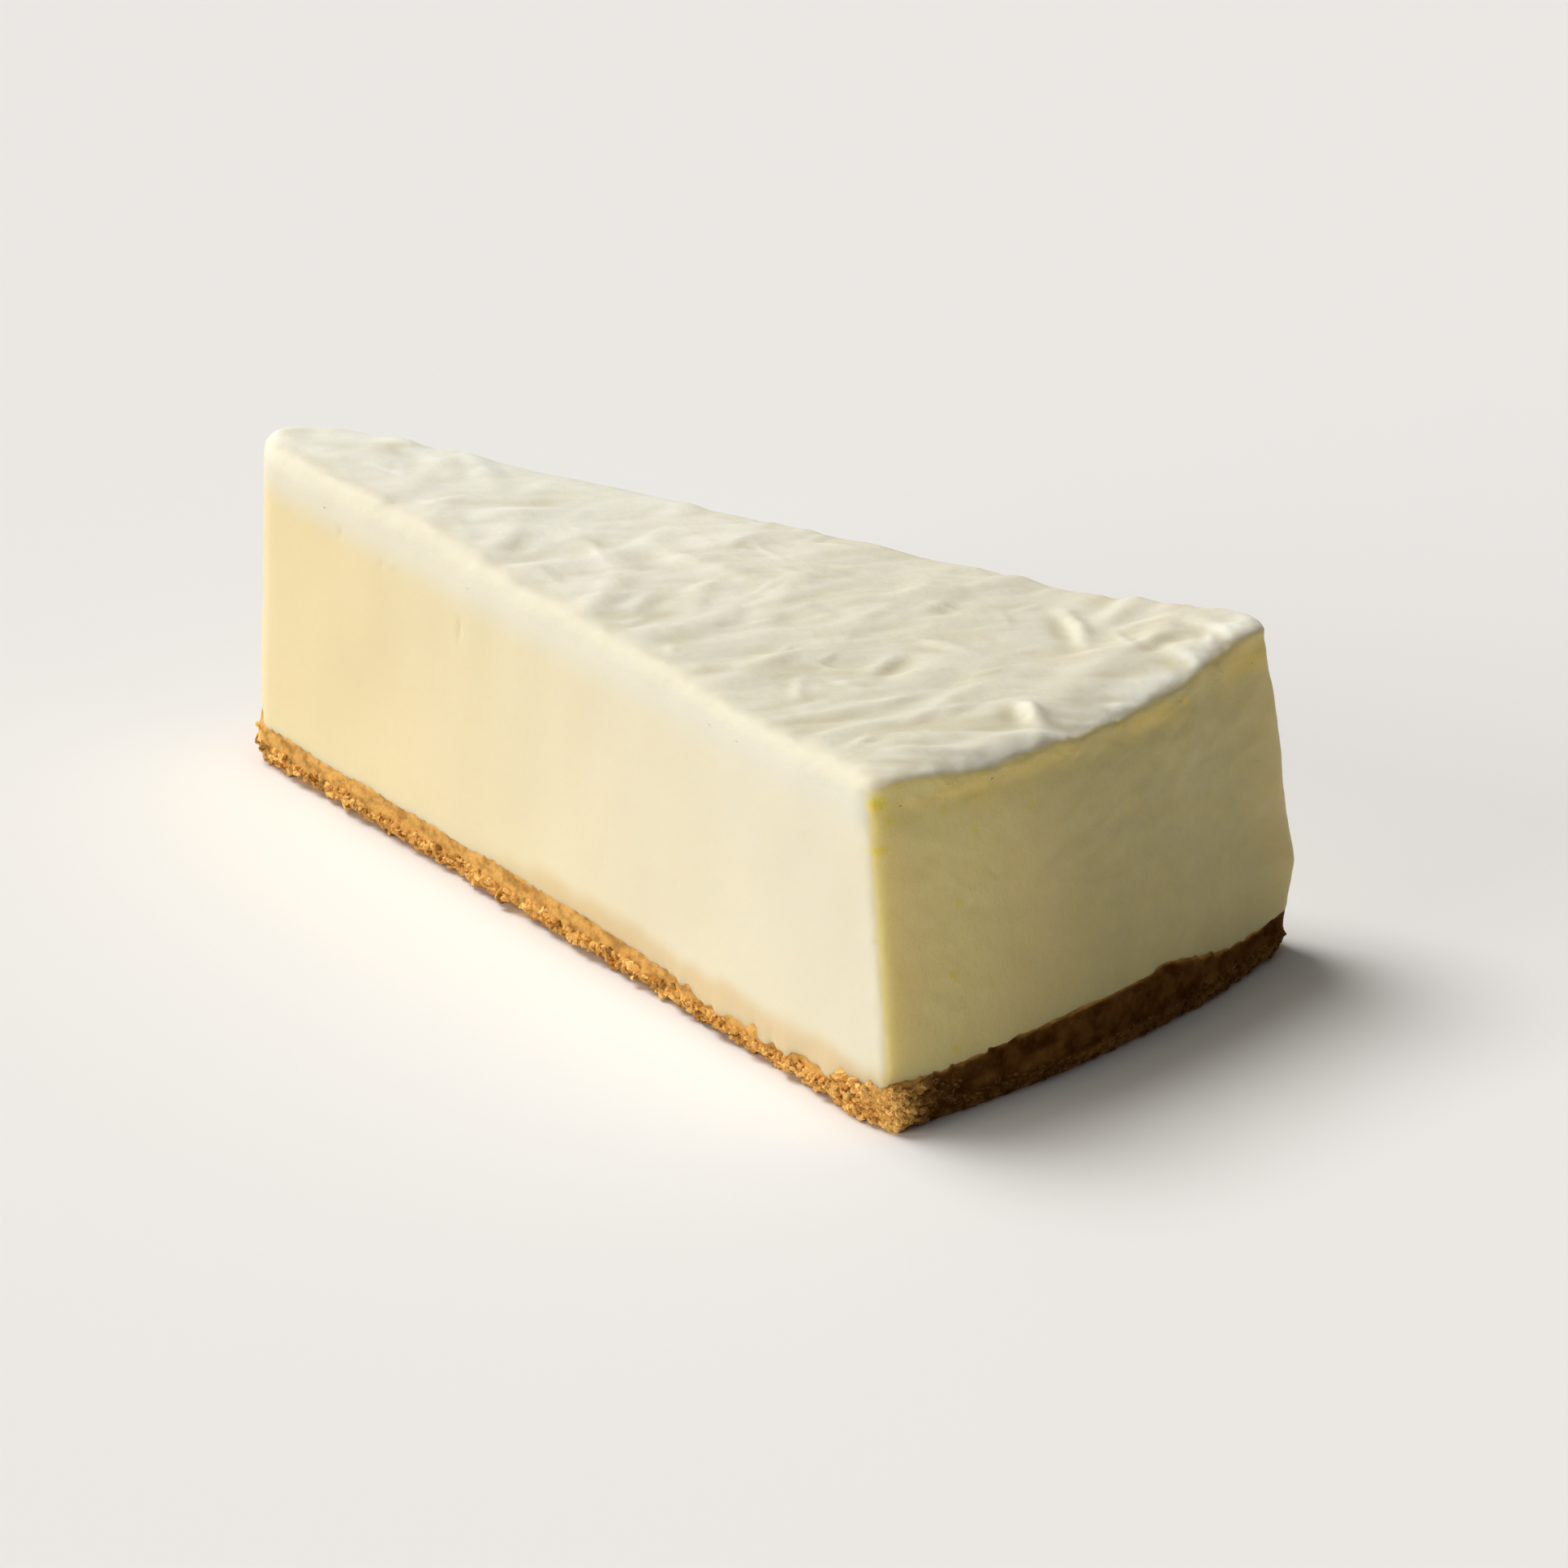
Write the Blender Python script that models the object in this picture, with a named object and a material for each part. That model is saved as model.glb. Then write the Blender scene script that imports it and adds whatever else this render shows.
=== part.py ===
"""A slice of baked cheesecake: a pressed crumb base, a dense cheese filling and a spread cream topping.

The slice is drawn in the frame of the whole cake: the cake's axis is at x = y = 0, its foot is at
z = 0, and the slice runs along +X from its blunt tip to the rim. At the end it is moved so that
its origin is the centre of its foot. Lengths are in metres and angles in radians.
"""

import math
import random

import bmesh
import bpy
from mathutils import Vector, geometry, noise

MM = 0.001

# Driving dimensions of the cake and of the cut
CAKE_RADIUS_FOOT = 142.0 * MM
CAKE_RADIUS_TOP = 136.6 * MM
CAKE_HEIGHT = 36.9 * MM
SLICE_ANGLE = math.radians(26.5)
TIP_RADIUS = 25.4 * MM  # the wedge starts this far from the cake's axis, so its tip is blunt

# Thickness of the layers
BASE_THICKNESS = 4.2 * MM
BASE_RIM_RISE = 2.5 * MM  # the crumbs are pressed up against the tin's wall
BASE_RIM_RISE_REACH = 5.0 * MM
TOPPING_THICKNESS = 2.9 * MM
TOPPING_RIM_THICKNESS = 2.0 * MM
LAYER_GAP = 0.3 * MM  # meshes that touch keep this much clear of each other

# Corners and edges
CORNER_RADIUS_RIM = 1.3 * MM
CORNER_WEAR = 2.0 * MM  # the far corner of the rim is rounder at the foot
CORNER_WEAR_REACH = 9.0 * MM
CORNER_RADIUS_TIP = 4.5 * MM
TOP_EDGE_RADIUS = 1.5 * MM
FOOT_CHAMFER = 0.7 * MM
FOOT_BOW = 0.25 * MM  # each cut bows in this far at the foot, so the slice stands on its corners
TIP_BULGE = 1.0 * MM
TIP_BULGE_REACH = 14.0 * MM
TIP_SQUEEZE = 2.0 * MM  # the far cut bends in towards the tip
TIP_SQUEEZE_REACH = 26.0 * MM

# The top face, which sinks towards the far cut and rises to a lip along the rim
TOP_LEAN = 1.7 * MM
RIM_LIFT = 0.5 * MM
FAR_CORNER_LIFT = 0.7 * MM
RIM_REACH = 14.0 * MM
LIP_OUTSET = 0.5 * MM
GROOVE_DEPTH = 0.3 * MM

# The swelling of the wall where the far cut meets the rim
SWELL_DEPTH = 1.5 * MM
SWELL_HEIGHT = 10.5 * MM
SWELL_REACH = Vector((22.0, 9.0, 8.0)) * MM  # in from the rim, in from the far cut, up and down
SHOULDER_DEPTH = 1.1 * MM
SHOULDER_HEIGHT = 22.0 * MM
WALL_UNEVEN = 0.35 * MM
WALL_UNEVEN_SIZE = 14.0 * MM

# The base's crags
CRAG_DEPTH = 0.6 * MM
CRAG_SIZE = 2.6 * MM
BASE_TOP_UNEVEN = 0.45 * MM
BASE_TOP_UNEVEN_SIZE = 6.0 * MM
FAR_CORNER_LOSS = 1.5 * MM  # the far corner of the rim is crushed lower
FAR_CORNER_REACH = 12.0 * MM

# Knife marks and slow waves on the topping
STROKE_SEED = 7
STROKE_COUNT = 50
STROKE_HEIGHT = (0.3 * MM, 0.6 * MM)
STROKE_LENGTH = (16.0 * MM, 38.0 * MM)
STROKE_WIDTH = (1.1 * MM, 1.7 * MM)
STROKE_HEADING = (math.radians(45), math.radians(115))  # mostly round the cake
STROKE_STRAYS = 0.2
STROKE_BEND = 22.0  # per metre
WAVE_HEIGHT = 0.4 * MM
WAVE_SIZE = 16.0 * MM

# Mesh density
OUTLINE_STEP = 2.0 * MM
TIP_STEPS = 10
TOP_STEP = 1.6 * MM
HIDDEN_STEP = 9.0 * MM
HIDDEN_INSET = 2.5 * MM
FILLING_WALL_BANDS = 6
BASE_WALL_SHARES = (0.3, 0.62)

HALF_ANGLE = SLICE_ANGLE / 2

COLOURS = {  # linear colour and roughness
    "crumb": ((0.47, 0.24, 0.085, 1.0), 0.9),
    "filling": ((0.84, 0.74, 0.46, 1.0), 0.45),
    "topping": ((0.84, 0.79, 0.64, 1.0), 0.4),
}


def clear_scene():
    for obj in list(bpy.data.objects):
        bpy.data.objects.remove(obj, do_unlink=True)


def fall(distance, reach):
    """1 where distance is 0, falling smoothly to 0 at reach."""
    share = min(max(distance / reach, 0.0), 1.0)
    return 1.0 - share * share * (3.0 - 2.0 * share)


def blend(low, high, share):
    return low + (high - low) * share


def rim_radius(z):
    """The wall leans out towards the foot."""
    return blend(CAKE_RADIUS_FOOT, CAKE_RADIUS_TOP, z / CAKE_HEIGHT)


def rounded(first, second, radius):
    """Distances from the two sides of a square corner, carried round a fillet of that radius."""
    if first >= radius or second >= radius:
        return first, second
    a = (radius - first) / radius
    b = (radius - second) / radius
    first = radius * (1.0 - a * math.sqrt(1.0 - b * b / 2.0))
    second = radius * (1.0 - b * math.sqrt(1.0 - a * a / 2.0))
    return first, second


def plan_point(along, turn, z, inset):
    """A point in plan at height z: along is 0 at the tip and 1 at the rim, turn -1 and 1 at the cuts."""
    inner = TIP_RADIUS + inset
    outer = rim_radius(z) - inset
    radius = blend(inner, outer, along)
    half_width = radius * HALF_ANGLE - inset
    from_cut = half_width * (1.0 - abs(turn))
    if along > 0.5:
        wear = CORNER_WEAR * fall(z, CORNER_WEAR_REACH) if turn > 0.0 else 0.0
        inwards, from_cut = rounded(outer - radius, from_cut, CORNER_RADIUS_RIM + wear)
        radius = outer - inwards
    else:
        corner = min(CORNER_RADIUS_TIP, 0.8 * half_width)
        inwards, from_cut = rounded(radius - inner, from_cut, corner)
        radius = inner + inwards
    angle = math.copysign(half_width - from_cut, turn) / radius
    past_tip = radius - TIP_RADIUS
    x = radius * math.cos(angle) - TIP_BULGE * fall(past_tip, TIP_BULGE_REACH) * (1.0 - turn * turn)
    y = radius * math.sin(angle) - TIP_SQUEEZE * fall(past_tip, TIP_SQUEEZE_REACH) * (turn + 1.0) / 2.0
    return Vector((x, y))


def crowd_ends(share):
    """Brings stations closer together near both ends of a side, where the corners are rounded."""
    return share - 0.5 * math.sin(2.0 * math.pi * share) / (2.0 * math.pi)


def outline_stations():
    """(along, turn) round the slice, counter-clockwise from the rim's near corner."""
    rim_steps = round(CAKE_RADIUS_FOOT * SLICE_ANGLE / OUTLINE_STEP)
    cut_steps = round((CAKE_RADIUS_FOOT - TIP_RADIUS) / OUTLINE_STEP)
    rim = [(1.0, 2.0 * crowd_ends(i / rim_steps) - 1.0) for i in range(rim_steps)]
    far_cut = [(1.0 - crowd_ends(i / cut_steps), 1.0) for i in range(cut_steps)]
    tip = [(0.0, 1.0 - 2.0 * i / TIP_STEPS) for i in range(TIP_STEPS)]
    near_cut = [(crowd_ends(i / cut_steps), -1.0) for i in range(cut_steps)]
    return rim + far_cut + tip + near_cut


def ring(level, height, inset=0.0, outset=None):
    """The outline at one level, with its height from height(x, y), moved out by outset(point)."""
    plan = [plan_point(along, turn, level, inset) for along, turn in outline_stations()]
    points = []
    for k, here in enumerate(plan):
        tangent = plan[(k + 1) % len(plan)] - plan[k - 1]
        outward = Vector((tangent.y, -tangent.x, 0.0)).normalized()
        point = Vector((here.x, here.y, height(here.x, here.y)))
        if outset:
            point += outward * outset(point)
        points.append(point)
    return points


def from_rim(x, y, z):
    return rim_radius(z) - math.hypot(x, y)


def wall_swell(point):
    """The wall is slightly uneven, and swells where the far cut meets the rim, most of all low down."""
    x, y, z = point
    far_cut = abs(HALF_ANGLE - math.atan2(y, x)) * x
    near_corner = fall(from_rim(x, y, z), SWELL_REACH.x) * fall(far_cut, SWELL_REACH.y)
    swell = SWELL_DEPTH * fall(abs(z - SWELL_HEIGHT), SWELL_REACH.z)
    swell += SHOULDER_DEPTH * (1.0 - fall(z - SWELL_HEIGHT, SHOULDER_HEIGHT - SWELL_HEIGHT))
    return near_corner * swell + WALL_UNEVEN * noise.noise(point / WALL_UNEVEN_SIZE)


def at_rim(point):
    return fall(from_rim(*point), 2.0 * MM)


def crag_outset(point):
    """The crumb base's broken wall: coarse crags on the cuts, half as deep on the pressed rim."""
    coarse = noise.noise(point / CRAG_SIZE) + 0.6 * noise.noise(point / (0.45 * CRAG_SIZE))
    return wall_swell(point) + CRAG_DEPTH * coarse * (1.0 - 0.5 * at_rim(point))


def groove_outset(point):
    return wall_swell(point) - GROOVE_DEPTH * at_rim(point)


def lip_outset(point):
    return wall_swell(point) + LIP_OUTSET * at_rim(point)


def foot_outset(point):
    share = (point.xy.length - TIP_RADIUS) / (CAKE_RADIUS_FOOT - TIP_RADIUS)
    return -FOOT_BOW * 4.0 * share * (1.0 - share)


def base_top(x, y):
    """Height of the crumb base's upper face."""
    corner = plan_point(1.0, 1.0, BASE_THICKNESS, 0.0)
    rise = BASE_RIM_RISE - FAR_CORNER_LOSS * fall((Vector((x, y)) - corner).length, FAR_CORNER_REACH)
    rise *= fall(from_rim(x, y, BASE_THICKNESS), BASE_RIM_RISE_REACH)
    return BASE_THICKNESS + rise + BASE_TOP_UNEVEN * noise.noise(Vector((x, y, 0.0)) / BASE_TOP_UNEVEN_SIZE)


def filling_bottom(x, y):
    return base_top(x, y) + LAYER_GAP


def smooth_top(x, y):
    """Height of the slice's top face without its knife marks."""
    turn = math.atan2(y, x) / HALF_ANGLE
    lift = RIM_LIFT + FAR_CORNER_LIFT * fall(1.0 - turn, 1.0)
    return CAKE_HEIGHT - TOP_LEAN * (turn + 1.0) / 2.0 + lift * fall(from_rim(x, y, CAKE_HEIGHT), RIM_REACH)


def filling_top(x, y):
    """Height of the filling's upper face, nearer to the top face at the rim."""
    thinning = TOPPING_THICKNESS - TOPPING_RIM_THICKNESS
    thinning *= fall(from_rim(x, y, CAKE_HEIGHT), RIM_REACH / 2.0)
    return smooth_top(x, y) - TOPPING_THICKNESS + thinning


def topping_bottom(x, y):
    return filling_top(x, y) + LAYER_GAP


class Stroke:
    """One pass of the knife: a low curved ridge, steep on one side."""

    def __init__(self, draw):
        radius = math.sqrt(draw.uniform(TIP_RADIUS**2, CAKE_RADIUS_TOP**2))
        angle = draw.uniform(-HALF_ANGLE, HALF_ANGLE)
        self.x = radius * math.cos(angle)
        self.y = radius * math.sin(angle)
        strays = draw.random() < STROKE_STRAYS
        self.heading = draw.uniform(0.0, math.pi) if strays else draw.uniform(*STROKE_HEADING)
        self.length = draw.uniform(*STROKE_LENGTH)
        self.width = draw.uniform(*STROKE_WIDTH)
        self.height = draw.uniform(*STROKE_HEIGHT)
        self.bend = draw.uniform(-STROKE_BEND, STROKE_BEND)

    def rise(self, x, y):
        dx, dy = x - self.x, y - self.y
        along = dx * math.cos(self.heading) + dy * math.sin(self.heading)
        across = dy * math.cos(self.heading) - dx * math.sin(self.heading)
        across -= self.bend * along * along
        width = self.width * (1.4 if across > 0.0 else 0.8)
        return self.height * fall(abs(along), self.length / 2.0) * math.exp(-((across / width) ** 2))


def topping_top(x, y, strokes):
    """Height of the topping's upper face before its edges are rounded."""
    waves = WAVE_HEIGHT * noise.noise(Vector((x, y, 0.0)) / WAVE_SIZE)
    ridges = max(stroke.rise(x, y) for stroke in strokes)
    return smooth_top(x, y) + waves + ridges - 0.5 * STROKE_HEIGHT[0]


def lies_inside(x, y, loop):
    """Whether a point is inside a closed loop, by counting the sides that it sees along +X."""
    crossings = 0
    for a, b in zip(loop, loop[1:] + loop[:1]):
        if (a.y > y) != (b.y > y):
            crossings += a.x + (y - a.y) * (b.x - a.x) / (b.y - a.y) > x
    return crossings % 2 == 1


def lattice(step, level, inset):
    """Points of a triangular lattice inside the outline, at least inset from it."""
    loop = [plan_point(along, turn, level, inset) for along, turn in outline_stations()]
    row_step = step * math.sqrt(3.0) / 2.0
    reach = CAKE_RADIUS_FOOT * math.sin(HALF_ANGLE)
    found = []
    for row in range(int(2.0 * reach / row_step) + 1):
        y = row * row_step - reach
        for column in range(int((CAKE_RADIUS_FOOT - TIP_RADIUS) / step) + 1):
            x = TIP_RADIUS + (column + row % 2 / 2.0) * step
            if lies_inside(x, y, loop):
                found.append(Vector((x, y)))
    return found


class Layer:
    """A closed body lofted through rings from its lower face to its upper face."""

    def __init__(self, name):
        self.name = name
        self.bm = bmesh.new()
        self.rings = []

    def add_ring(self, points):
        verts = [self.bm.verts.new(point) for point in points]
        if self.rings:
            below = self.rings[-1]
            for k in range(len(verts)):
                n = (k + 1) % len(verts)
                self.bm.faces.new((below[k], below[n], verts[n], verts[k]))
        self.rings.append(verts)

    def flat_cap(self, verts):
        self.bm.faces.new(verts)

    def cap(self, verts, height, inner_points):
        """Closes a ring with triangles through inner_points, at heights from height(x, y)."""
        plan = [vert.co.xy for vert in verts]
        sides = [(k, (k + 1) % len(plan)) for k in range(len(plan))]
        points, _, faces, *_ = geometry.delaunay_2d_cdt(plan + inner_points, sides, [], 1, 1e-7)
        verts = verts + [self.bm.verts.new((p.x, p.y, height(p.x, p.y))) for p in points[len(plan):]]
        for face in faces:
            self.bm.faces.new([verts[k] for k in face])

    def build(self, material):
        bmesh.ops.recalc_face_normals(self.bm, faces=self.bm.faces)
        mesh = bpy.data.meshes.new(self.name)
        self.bm.to_mesh(mesh)
        self.bm.free()
        mesh.materials.append(material)
        mesh.shade_smooth()
        mesh.set_sharp_from_angle(angle=math.radians(50))
        obj = bpy.data.objects.new(self.name, mesh)
        bpy.context.collection.objects.link(obj)
        return obj


def make_material(name):
    colour, roughness = COLOURS[name]
    material = bpy.data.materials.new(name)
    material.use_nodes = True
    shader = material.node_tree.nodes["Principled BSDF"]
    shader.inputs["Base Color"].default_value = colour
    shader.inputs["Roughness"].default_value = roughness
    shader.inputs["Metallic"].default_value = 0.0
    return material


def hidden_face(level):
    """The lattice that both sides of a joint between two layers share, so that they stay parallel."""
    return lattice(HIDDEN_STEP, level, HIDDEN_INSET + HIDDEN_STEP / 3.0)


def make_base():
    layer = Layer("crumb_base")
    joint = BASE_THICKNESS
    layer.add_ring(ring(0.0, lambda x, y: 0.0, inset=FOOT_CHAMFER, outset=foot_outset))
    layer.flat_cap(layer.rings[0])
    for share in BASE_WALL_SHARES:
        layer.add_ring(ring(share * joint, lambda x, y, s=share: s * base_top(x, y), outset=crag_outset))
    layer.add_ring(ring(joint, base_top, outset=wall_swell))
    layer.add_ring(ring(joint, base_top, inset=HIDDEN_INSET))
    layer.cap(layer.rings[-1], base_top, hidden_face(joint))
    return layer.build(make_material("crumb"))


def make_filling():
    layer = Layer("cheese_filling")
    low, high = BASE_THICKNESS, CAKE_HEIGHT - TOPPING_THICKNESS
    layer.add_ring(ring(low, filling_bottom, inset=HIDDEN_INSET))
    layer.cap(layer.rings[0], filling_bottom, hidden_face(low))
    layer.add_ring(ring(low, filling_bottom, outset=wall_swell))
    for band in range(1, FILLING_WALL_BANDS):
        share = band / FILLING_WALL_BANDS
        layer.add_ring(
            ring(
                blend(low, high, share),
                lambda x, y, s=share: blend(filling_bottom(x, y), filling_top(x, y), s),
                outset=wall_swell,
            )
        )
    layer.add_ring(ring(high, filling_top, outset=groove_outset))
    layer.add_ring(ring(high, filling_top, inset=HIDDEN_INSET))
    layer.cap(layer.rings[-1], filling_top, hidden_face(high))
    return layer.build(make_material("filling"))


def make_topping():
    layer = Layer("cream_topping")
    draw = random.Random(STROKE_SEED)
    strokes = [Stroke(draw) for _ in range(STROKE_COUNT)]
    low = CAKE_HEIGHT - TOPPING_THICKNESS

    def upper(drop):
        return lambda x, y: topping_top(x, y, strokes) - drop

    layer.add_ring(ring(low, topping_bottom, inset=HIDDEN_INSET))
    layer.cap(layer.rings[0], topping_bottom, hidden_face(low))
    layer.add_ring(ring(low, topping_bottom, outset=groove_outset))
    for degrees in (90.0, 55.0, 25.0, 0.0):
        inset = TOP_EDGE_RADIUS * (1.0 - math.sin(math.radians(degrees)))
        drop = TOP_EDGE_RADIUS * (1.0 - math.cos(math.radians(degrees)))
        layer.add_ring(ring(CAKE_HEIGHT - drop, upper(drop), inset=inset, outset=lip_outset))
    surface = lattice(TOP_STEP, CAKE_HEIGHT, TOP_EDGE_RADIUS + 0.6 * TOP_STEP)
    layer.cap(layer.rings[-1], upper(0.0), surface)
    return layer.build(make_material("topping"))


def centre_on_foot(layers):
    """Moves the layers together, so that the origin is the centre of the slice's box at the foot."""
    points = [vert.co for obj in layers for vert in obj.data.vertices]
    middle_x = (min(p.x for p in points) + max(p.x for p in points)) / 2.0
    middle_y = (min(p.y for p in points) + max(p.y for p in points)) / 2.0
    for obj in layers:
        obj.location = (-middle_x, -middle_y, 0.0)


clear_scene()
centre_on_foot([make_base(), make_filling(), make_topping()])
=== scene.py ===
# A slice of baked cheesecake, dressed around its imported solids. Lengths are in metres.
# The cheese and the cream are grown from one body, so that no seam shows at the cuts.

import math
import random

import bpy
import numpy as np
from mathutils import Euler, Matrix, Vector, noise


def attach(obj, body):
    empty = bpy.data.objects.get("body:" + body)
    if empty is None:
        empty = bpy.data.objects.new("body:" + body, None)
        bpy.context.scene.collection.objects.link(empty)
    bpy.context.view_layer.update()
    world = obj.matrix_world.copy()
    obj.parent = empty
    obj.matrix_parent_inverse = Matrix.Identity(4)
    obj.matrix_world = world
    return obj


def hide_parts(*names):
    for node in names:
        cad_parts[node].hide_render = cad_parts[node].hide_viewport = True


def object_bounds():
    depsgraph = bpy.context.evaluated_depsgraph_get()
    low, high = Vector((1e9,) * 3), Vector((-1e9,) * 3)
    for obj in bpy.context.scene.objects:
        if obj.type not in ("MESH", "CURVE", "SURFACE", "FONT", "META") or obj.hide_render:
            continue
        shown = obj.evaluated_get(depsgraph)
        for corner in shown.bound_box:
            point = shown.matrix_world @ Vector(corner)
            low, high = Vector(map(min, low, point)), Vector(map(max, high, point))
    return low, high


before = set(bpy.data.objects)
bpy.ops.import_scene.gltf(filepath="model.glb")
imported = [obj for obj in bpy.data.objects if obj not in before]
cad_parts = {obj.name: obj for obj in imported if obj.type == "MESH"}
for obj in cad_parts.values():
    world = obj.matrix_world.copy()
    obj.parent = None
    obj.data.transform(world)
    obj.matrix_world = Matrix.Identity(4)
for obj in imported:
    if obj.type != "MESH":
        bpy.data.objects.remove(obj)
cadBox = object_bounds()
mm = 0.001

# How the slice's cuts, wall and top run. Radii are from its apex, where the two cuts would meet
wedge = dict(
    halfAngle=math.radians(13.25),
    footRadius=142.0 * mm,
    topRadius=136.6 * mm,
    height=36.9 * mm,
    topLean=1.7 * mm,  # how much lower the top is at the far cut
    rimLift=0.5 * mm,
    rimLiftWidth=14 * mm,
    baseHeight=4.2 * mm,
    creamHeight=2.9 * mm,
)
apexX = cadBox[1].x - wedge["footRadius"]
print("frame loaded:", sorted(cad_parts))


def fall(distance, reach):
    # 1 at distance 0, falling smoothly to 0 at reach
    share = np.clip(distance / reach, 0.0, 1.0)
    return 1.0 - share * share * (3.0 - 2.0 * share)


def within(distance, full, fade):
    # 1 as far as full, then falling to 0 over fade
    return fall(distance - full, fade)


def bell(distance, width):
    return np.exp(-((distance / width) ** 2))


def noiseAt(points, size, seed=0.0):
    # size is one length, or three for a pattern that is drawn out
    return np.array([noise.noise(Vector(p)) for p in points / size + seed])


def waves(points, height, size, seed):
    return height * noiseAt(points, size, seed)


def patches(points, mean, height, size, seed):
    return np.clip(mean + height * noiseAt(points, size, seed), 0.0, 1.0)


class Places:
    # where each point of a piece lies in the slice
    def __init__(self, points):
        x = points[:, 0] - apexX
        y = points[:, 1]
        z = points[:, 2]
        self.x, self.y, self.z = x, y, z
        self.radius = np.hypot(x, y)
        self.turn = np.arctan2(y, x) / wedge["halfAngle"]  # -1 at the near cut, 1 at the far one
        lean = wedge["topRadius"] - wedge["footRadius"]
        self.fromRim = wedge["footRadius"] + lean * z / wedge["height"] - self.radius
        sine, cosine = math.sin(wedge["halfAngle"]), math.cos(wedge["halfAngle"])
        self.fromNear = x * sine + y * cosine
        self.fromFar = x * sine - y * cosine
        lift = wedge["rimLift"] * fall(self.fromRim, wedge["rimLiftWidth"])
        self.fromTop = wedge["height"] - wedge["topLean"] * (self.turn + 1) / 2 + lift - z


def selectOnly(piece):
    if bpy.context.object and bpy.context.object.mode != "OBJECT":
        bpy.ops.object.mode_set(mode="OBJECT")
    bpy.ops.object.select_all(action="DESELECT")
    piece.select_set(True)
    bpy.context.view_layer.objects.active = piece


def moveFaces(piece, wanted, offset):
    # moves the faces that wanted(centre, normal) picks
    selectOnly(piece)
    bpy.ops.object.mode_set(mode="EDIT")
    bpy.ops.mesh.select_mode(type="FACE")
    bpy.ops.mesh.select_all(action="DESELECT")
    bpy.ops.object.mode_set(mode="OBJECT")
    for face in piece.data.polygons:
        face.select = wanted(face.center, face.normal)
    bpy.ops.object.mode_set(mode="EDIT")
    bpy.ops.transform.translate(value=offset)
    bpy.ops.object.mode_set(mode="OBJECT")


def applyModifier(piece, kind, **settings):
    selectOnly(piece)
    modifier = piece.modifiers.new(kind, kind)
    for name, value in settings.items():
        setattr(modifier, name, value)
    bpy.ops.object.modifier_apply(modifier=modifier.name)


def copyOfNode(nodeName, pieceName):
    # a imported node's mesh is loose triangles, so its copy is merged
    piece = bpy.data.objects.new(pieceName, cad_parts[nodeName].data.copy())
    piece.data.name = pieceName
    piece.data.materials.clear()
    bpy.context.collection.objects.link(piece)
    selectOnly(piece)
    bpy.ops.mesh.customdata_custom_splitnormals_clear()
    bpy.ops.object.mode_set(mode="EDIT")
    bpy.ops.mesh.select_all(action="SELECT")
    bpy.ops.mesh.remove_doubles(threshold=0.005 * mm)
    bpy.ops.object.mode_set(mode="OBJECT")
    return piece


def readPoints(piece):
    count = len(piece.data.vertices)
    points = np.empty(3 * count)
    normals = np.empty(3 * count)
    piece.data.vertices.foreach_get("co", points)
    piece.data.vertex_normals.foreach_get("vector", normals)
    return points.reshape(-1, 3), normals.reshape(-1, 3)


def writePoints(piece, points, margin=0.0):
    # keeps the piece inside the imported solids' box
    inset = np.array([margin, margin, 0.0])
    inside = np.clip(points, np.array(cadBox[0]) + inset, np.array(cadBox[1]) - inset)
    piece.data.vertices.foreach_set("co", inside.ravel())
    piece.data.update()


def writeMask(piece, name, values):
    layer = piece.data.attributes.new(name, "FLOAT", "POINT")
    layer.data.foreach_set("value", np.clip(values, 0.0, 1.0))


# The cream is parted from the cheese by one leaning cut
creamCut = dict(
    height=wedge["height"] - wedge["creamHeight"] - wedge["topLean"] / 2,
    lean=wedge["topLean"] / (cadBox[1].y - cadBox[0].y),
)


def aboveCut(points):
    # height over the cut that parts the cream from the cheese
    return points[:, 2] + creamCut["lean"] * points[:, 1] - creamCut["height"]


# One body of cheese and cream. In this and the dictionaries below, a pair is how far something holds in full
# and over what it then fades, and three values are the height, size and seed of waves
bodyShape = dict(
    voxel=0.43 * mm,
    overlap=0.8 * mm,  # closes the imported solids' gaps
    footNormal=-0.6,
    smoothing=7,
    topFrom=(0.35, 0.4),  # how much the faces point up where the top begins
    wallUpTo=(0.0, 0.5),
    rimDepth=3.0 * mm,
    nearDepth=3.0 * mm,
    nearSmoother=0.45,  # the near cut is the smoothest
    quietWidth=3.5 * mm,
    quiet=0.8,  # the knife's marks are low along the near cut
    wallWaves=(0.16 * mm, np.array([7.0, 7.0, 11.0]) * mm, 4.0),
    rimWaves=(0.13 * mm, np.array([3.2, 3.2, 2.2]) * mm, 16.0),
    curd=0.03 * mm,
    rimCurd=0.10 * mm,  # the rim is the grainier
    curdSize=1.3 * mm,
    curdSeed=6.0,
)

# The lip that the cream makes along the rim, and the crease under it
lipShape = dict(
    middle=-0.05,  # on the way from -1 at the near cut to 1 at the far one
    sag=1.25 * mm,  # how far it hangs down between the rim's corners
    sagWidth=(0.35, 0.6),
    sagReach=8.0 * mm,
    sagWaves=(0.22, 5 * mm, 40.0),
    out=0.03 * mm,
    belowTop=0.9 * mm,
    height=1.1 * mm,
    creaseDepth=0.06 * mm,
    creaseBelowTop=2.0 * mm,
    creaseHeight=0.8 * mm,
    creasePatches=(0.75, 0.9, 8 * mm, 12.0),
    creaseEnds=(3.0 * mm, 6.0 * mm),  # how far it stays from the near and the far cut
    wander=(0.7 * mm, 9 * mm, 5.0),  # how unevenly lip and crease run
    fineWander=(0.4 * mm, 3 * mm, 15.0),
    brimBack=0.35 * mm,  # draws the lip in at the rim's two corners
    brimHeight=3.4 * mm,
    brimWidth=7 * mm,
)

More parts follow.
